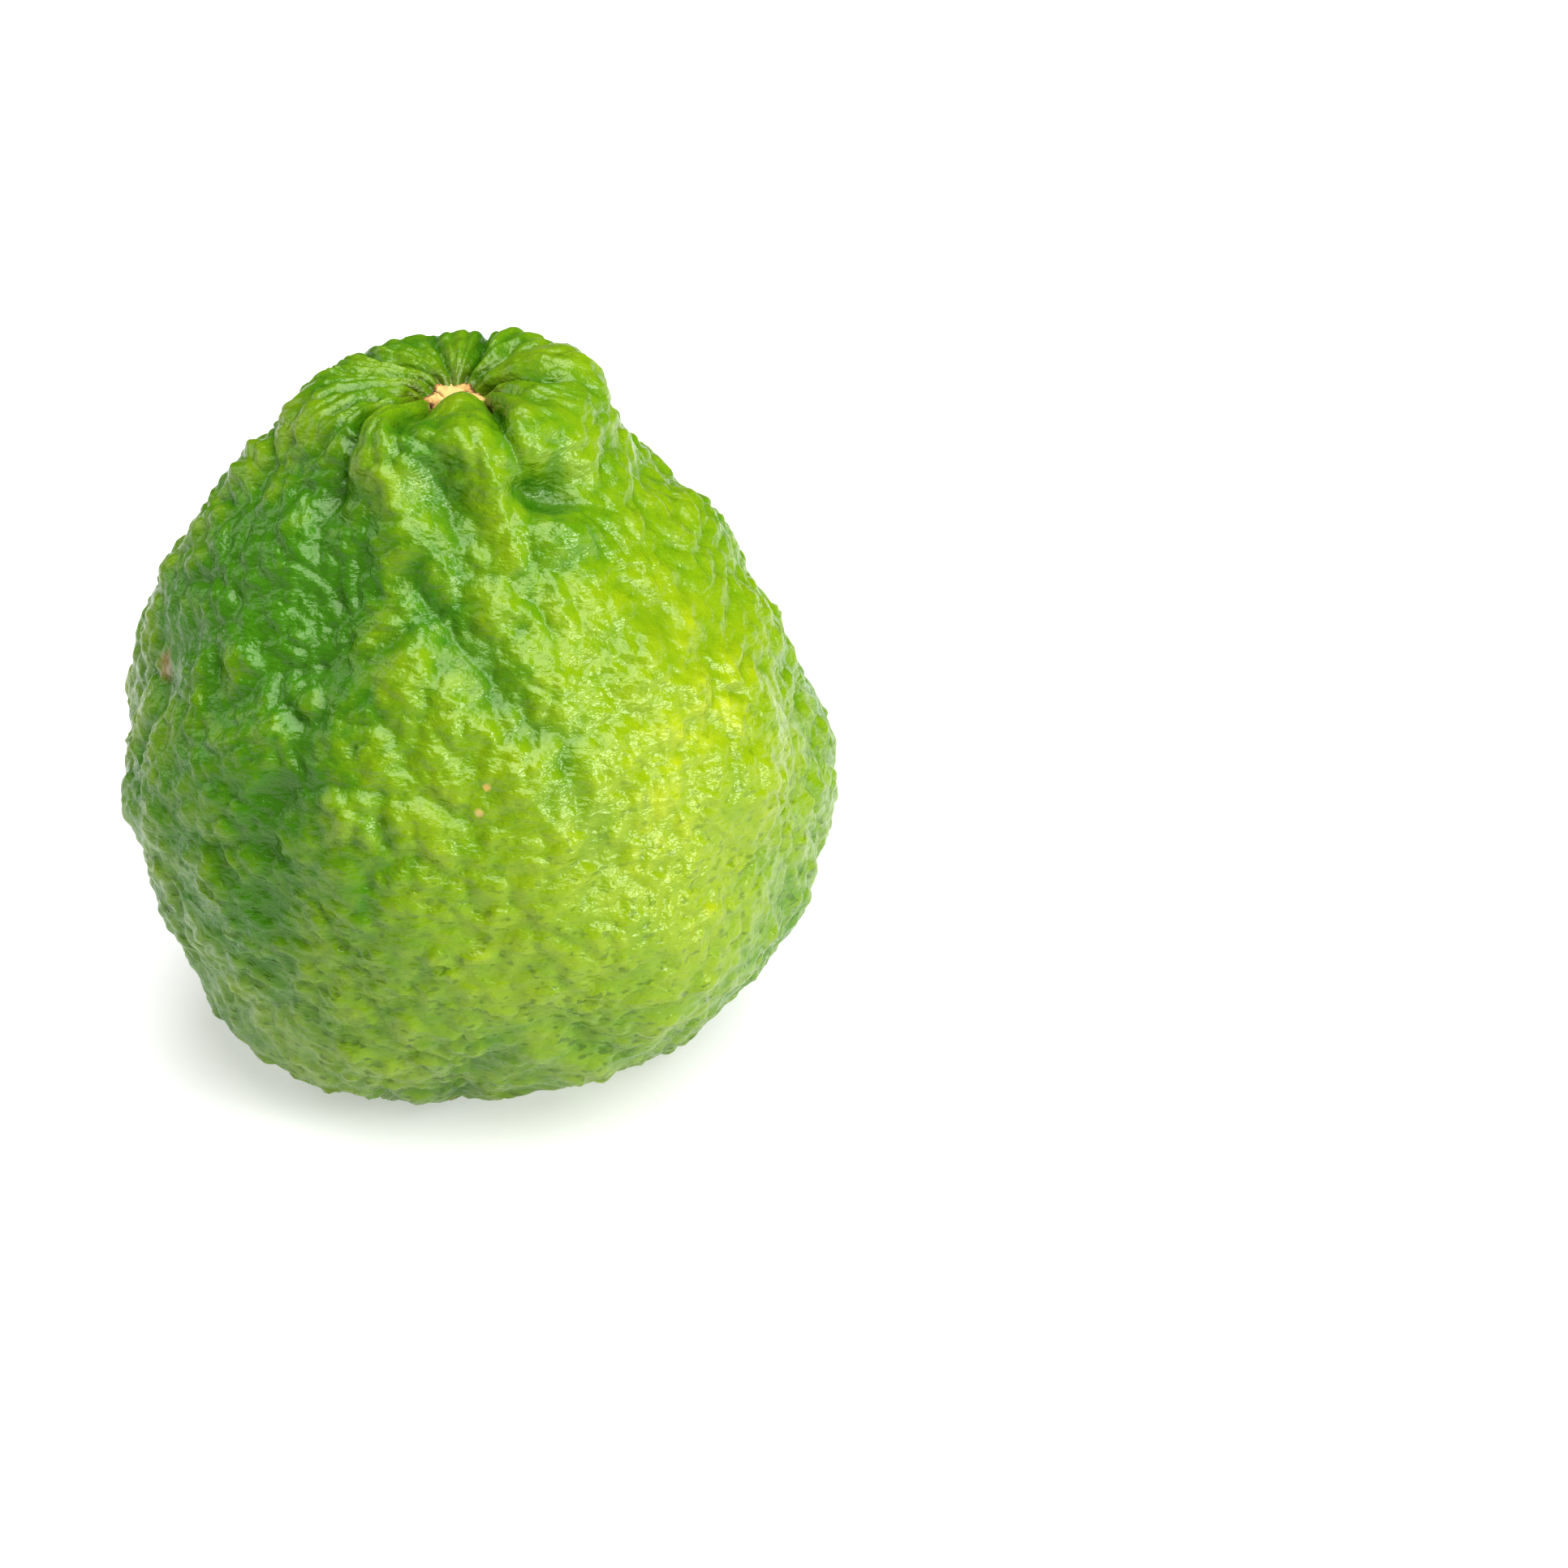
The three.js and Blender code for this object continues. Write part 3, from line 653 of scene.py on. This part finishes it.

# Where the rind is dark: painted shade in creases, specks over glands, brown where it dried round
# the stalk. A Mix node takes its two colours in sockets 6 and 7, and gives the mixed one in socket 2.
crease_shade_amount = node(tree, "MapRange", {"Value": painted_shade, "From Min": 0.15, "To Max": 0.65})
dried = node(tree, "MapRange", {"Value": mottle, "From Min": 0.3, "From Max": 0.55})
dried = node(tree, "Math", {"operation": "MULTIPLY", 0: dried, 1: by_stalk})
for amount, colour in ((crease_shade_amount, CREASE_SHADE_GREEN), (pits, GLAND_GREEN), (dried, STALK_BROWN)):
    skin_colour = node(tree, "Mix", {
        "data_type": "RGBA",
        0: amount,
        6: skin_colour,
        7: linear(colour),
    }, 2)

# Scabs and specks, each with a ragged edge.
ragged = node(tree, "TexNoise", {
    "Vector": position,
    "Scale": 1 / (RAGGED_EDGES * MM),
    "Detail": 3.0,
})
for place, radius, density, colour in MARKS:
    centre = on_rind([place])[0] * MM
    away = node(tree, "VectorMath", {"operation": "DISTANCE", 0: position, 1: centre}, "Value")
    share = node(tree, "Math", {"operation": "DIVIDE", 0: away, 1: radius * MM})
    share = node(tree, "Math", {"operation": "ADD", 0: share, 1: ragged})
    covered = node(tree, "MapRange", {
        "Value": share,
        "From Min": 1.1,
        "From Max": 1.6,
        "To Min": density,
        "To Max": 0.0,
    })
    skin_colour = node(tree, "Mix", {
        "data_type": "RGBA",
        0: covered,
        6: skin_colour,
        7: linear(colour),
    }, 2)
tree.links.new(skin_colour, shader.inputs["Base Color"])

# The finest wrinkles and the pits of the glands, too small for the mesh, break up the glints.
fine = node(tree, "TexNoise", {
    "Vector": flat_lying,
    "Scale": 1 / (FINEST_WRINKLES * MM),
    "Detail": 2.5,
})
depth = node(tree, "Math", {"operation": "MULTIPLY", 0: pits, 1: 0.3})
fine = node(tree, "Math", {"operation": "SUBTRACT", 0: fine, 1: depth})
bumpy = node(tree, "Bump", {
    "Height": fine,
    "Strength": 1.0,
    "Distance": FINEST_WRINKLE_DEPTH * MM,
})
tree.links.new(bumpy, shader.inputs["Normal"])

# The wax is satin, and a little duller in some patches than in others. Its IOR is that of plant
# wax, and its glints take a tinge of the green skin, which lets in a little light.
waxy = node(tree, "MapRange", {
    "Value": patches,
    "From Min": 0.3,
    "From Max": 0.7,
    "To Min": 0.24,
    "To Max": 0.32,
})
tree.links.new(waxy, shader.inputs["Roughness"])
shader.inputs["IOR"].default_value = 1.43
shader.inputs["Specular Tint"].default_value = linear("#faffec")
shader.inputs["Subsurface Weight"].default_value = 0.06
shader.inputs["Subsurface Radius"].default_value = (0.7, 1, 0.2)
shader.inputs["Subsurface Scale"].default_value = 1.2 * MM
rind_mesh.materials.append(waxy_rind)
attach(rind, "root")
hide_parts("fruit")

# The stalk's end is dry wood that stayed in the crater when the fruit was picked. It is a short
# plug with points that reach into the crown's creases, broken off at a slant, its rim frayed.
STALK_RADIUS = 2.4
STALK_POINTS = (63, 126, 178, 224, 303, 354)
STALK_POINT_LENGTH = 0.6
STALK_POINT_SPREAD = 14
STALK_TOP = 66.1
STALK_SLANT = 0.18
STALK_THICKNESS = 2.4
STALK_SIDES = 240
TOP_RINGS = 40
# The sides are a little worn away all round, much weathered, and chipped: depth, and width in
# degrees.
STALK_WORN_AWAY = 0.1
SIDES_WEATHERED = 0.9
CHIP_DEPTH = 0.12
CHIP_WIDTH = 4.5
# The top's ring of vessels stands up, and its rim is frayed: shares of the radius, depths, and
# the width of a frayed fibre in degrees.
VESSELS_AT = 0.62
VESSELS_WIDTH = 0.16
FRAYED = (0.78, 1)
TOP_LOWERED = 0.16
BESIDE_VESSELS_DEPTH = 0.1
FRAY_DEPTH = 0.25
FRAY_WIDTH = 3
# The cracks in the top: azimuths, wander in degrees, shares of the radius, width and depth.
STALK_CRACKS = (40, 152, 262)
CRACK_WANDER = 9
CRACKS_BEGIN = (0.2, 0.6)
CRACK_WIDTH = 0.1
CRACK_DEPTH = 0.25
# The rough break: wavelength, height and seed.
BREAK_WAVES = [(0.9, 0.05, 62), (0.35, 0.03, 63)]

sides = np.arange(STALK_SIDES) * 360 / STALK_SIDES
stalk_radius = np.full(STALK_SIDES, STALK_RADIUS - STALK_WORN_AWAY)
for turn in STALK_POINTS:
    away = np.mod(sides - turn + 180, 360) - 180
    stalk_radius += STALK_POINT_LENGTH * np.exp(-((away / STALK_POINT_SPREAD) ** 2))
stalk_radius -= CHIP_DEPTH * draw(np.floor(sides / CHIP_WIDTH), 61)
# Rings from the middle of the top out over the rim and down: share of the radius, and drop.
rings = [(share, 0) for share in np.linspace(0, 1, TOP_RINGS)]
rings += [(1, 0.8), (0.98, 1.6), (0.95, STALK_THICKNESS), (0, STALK_THICKNESS)]
stalk_points = []
weathered_and_crack_shade = []
for share, drop in rings:
    out = share * stalk_radius
    across = out * np.cos(np.radians(sides))
    back = out * np.sin(np.radians(sides))
    height = np.full(STALK_SIDES, STALK_TOP - drop)
    points = np.stack([LEAN + CRATER_SHIFT + across, back, height], -1)
    wear_and_crack_shade = np.full(STALK_SIDES, SIDES_WEATHERED)
    if drop == 0:
        vessels = math.exp(-(((share - VESSELS_AT) / VESSELS_WIDTH) ** 2))
        frayed = float(ease(*FRAYED, share))
        crack = np.zeros(STALK_SIDES)
        for turn in STALK_CRACKS:
            away = np.mod(sides - turn - CRACK_WANDER * math.sin(5 * share) + 180, 360) - 180
            crack = np.maximum(crack, np.exp(-((np.radians(away) * out / CRACK_WIDTH) ** 2)))
        crack *= ease(*CRACKS_BEGIN, share)
        rough = sum(rise * ripple(points, length, seed) for length, rise, seed in BREAK_WAVES)
        fall = TOP_LOWERED + BESIDE_VESSELS_DEPTH * (1 - vessels)
        fall = fall + FRAY_DEPTH * frayed * draw(np.floor(sides / FRAY_WIDTH), 64)
        points[:, 2] += STALK_SLANT * back + rough - fall - CRACK_DEPTH * crack
        # Cracks are darkened as painted shade; fraying and the vessels are the wood's own colour.
        wear_and_crack_shade = 0.55 * frayed + 0.6 * crack + 0.1 * vessels + 0.16 * ripple(points, 2.2, 65)
    stalk_points.append(points)
    weathered_and_crack_shade.append(wear_and_crack_shade)

stalk_faces = []
for ring in range(len(rings) - 1):
    for side in range(STALK_SIDES):
        here = ring * STALK_SIDES + side
        there = ring * STALK_SIDES + (side + 1) % STALK_SIDES
        stalk_faces.append((here, here + STALK_SIDES, there + STALK_SIDES, there))
stalk_mesh = bpy.data.meshes.new("stalk_end")
stalk_mesh.from_pydata(np.concatenate(stalk_points) * MM, [], stalk_faces)
point_values(stalk_mesh, "weathered_and_crack_shade", np.concatenate(weathered_and_crack_shade))
stalk_end = mesh_object("stalk_end_wood", stalk_mesh)

# Dry broken wood: pale and dull, with fine fibres across it, and brown where it frayed. Its
# cracks are darkened brown to black as painted shade.
WOOD_COLOURS = [(0.05, "#bfa667"), (0.35, "#a8824a"), (0.65, "#704722"), (1, "#2e1f0e")]
FIBRES = 0.25
FIBRE_DEPTH = 0.06
dry_wood = bpy.data.materials.new("dry_broken_wood")
dry_wood.use_nodes = True
tree = dry_wood.node_tree
shader = tree.nodes["Principled BSDF"]
position = node(tree, "TexCoord", {}, "Object")
wear_and_crack_shade = node(tree, "Attribute", {"attribute_name": "weathered_and_crack_shade"}, "Fac")
fibres = node(tree, "TexNoise", {"Vector": position, "Scale": 1 / (FIBRES * MM), "Detail": 3.0})
change = node(tree, "MapRange", {
    "Value": fibres,
    "From Min": 0.3,
    "From Max": 0.7,
    "To Min": -0.15,
    "To Max": 0.2,
})
wear_and_crack_shade = node(tree, "Math", {"operation": "ADD", 0: wear_and_crack_shade, 1: change})
wood_colour = node(tree, "ValToRGB", {"Fac": wear_and_crack_shade}, "Color")
stops = wood_colour.node.color_ramp.elements
while len(stops) < len(WOOD_COLOURS):
    stops.new(0.5)
for stop, (place, colour) in zip(stops, WOOD_COLOURS):
    stop.position = place
    stop.color = linear(colour)
tree.links.new(wood_colour, shader.inputs["Base Color"])
bumpy = node(tree, "Bump", {"Height": fibres, "Strength": 0.8, "Distance": FIBRE_DEPTH * MM})
tree.links.new(bumpy, shader.inputs["Normal"])
shader.inputs["Roughness"].default_value = 0.8
stalk_mesh.materials.append(dry_wood)
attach(stalk_end, "root")
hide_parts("stalk_end")

# The floor is a wide matt white sheet, lit from below as a light table is. It keeps only a soft
# shadow under the fruit, and glows brighter further away, where the lamps don't reach.
FLOOR_REACH = 20
GLOW_CHANGES = (1.0, 2.5)
GLOW = (0.35, 1.1)
floor_mesh = bpy.data.meshes.new("floor")
floor_corners = [(-1, -1, 0), (1, -1, 0), (1, 1, 0), (-1, 1, 0)]
floor_mesh.from_pydata([Vector(corner) * FLOOR_REACH for corner in floor_corners], [], [(0, 1, 2, 3)])
floor = mesh_object("floor", floor_mesh)
sheet = bpy.data.materials.new("backlit_white_sheet")
sheet.use_nodes = True
tree = sheet.node_tree
shader = tree.nodes["Principled BSDF"]
shader.inputs["Base Color"].default_value = linear("#dadada")
shader.inputs["Roughness"].default_value = 0.9
shader.inputs["Emission Color"].default_value = (1, 1, 1, 1)
position = node(tree, "TexCoord", {}, "Object")
away = node(tree, "VectorMath", {"operation": "LENGTH", 0: position}, "Value")
glow = node(tree, "MapRange", {
    "Value": away,
    "From Min": GLOW_CHANGES[0],
    "From Max": GLOW_CHANGES[1],
    "To Min": GLOW[0],
    "To Max": GLOW[1],
})
tree.links.new(glow, shader.inputs["Emission Strength"])
floor_mesh.materials.append(sheet)

# White surroundings, as in a light tent. They are dim to the fruit, which the lamps light, and
# white to the camera.
TENT_LIGHT = 0.08
TENT_SEEN = 1.1
world = bpy.data.worlds.new("white_surroundings")
bpy.context.scene.world = world
world.use_nodes = True
tree = world.node_tree
seen = node(tree, "LightPath", {}, "Is Camera Ray")
brightness = node(tree, "MapRange", {"Value": seen, "To Min": TENT_LIGHT, "To Max": TENT_SEEN})
background = tree.nodes["Background"]
background.inputs["Color"].default_value = (1, 1, 1, 1)
tree.links.new(brightness, background.inputs["Strength"])

# Square soft boxes face the fruit. The key draws the glints on its right cheek, the high key
# lights the front and the top one the crown, the fill opens the shadows on the left, and the
# rim lights the left edge from behind.
SOFT_BOX_DISTANCE = 0.9
# Azimuth and elevation in degrees, size in metres, and watts.
SOFT_BOXES = {
    "key": (-32, 15, 0.33, 5.6),
    "high_key": (-62, 60, 0.8, 11),
    "top": (70, 80, 0.5, 4.4),
    "fill": (-135, 35, 1.2, 0.5),
    "rim": (165, 30, 0.6, 2.3),
}
for name, (around, above, size, watts) in SOFT_BOXES.items():
    light = bpy.data.lights.new(name, "AREA")
    light.size = size
    light.energy = watts
    soft_box = bpy.data.objects.new(name, light)
    bpy.context.scene.collection.objects.link(soft_box)
    turn = math.radians(around)
    rise = math.radians(above)
    towards = Vector((math.cos(turn) * math.cos(rise), math.sin(turn) * math.cos(rise), math.sin(rise)))
    soft_box.location = FRUIT_MIDDLE + SOFT_BOX_DISTANCE * towards
    soft_box.rotation_euler = (-towards).to_track_quat("-Z", "Y").to_euler()

# The photograph has a little more contrast than the plain view.
scene = bpy.context.scene
scene.view_settings.view_transform = "Standard"
scene.view_settings.look = "Medium High Contrast"
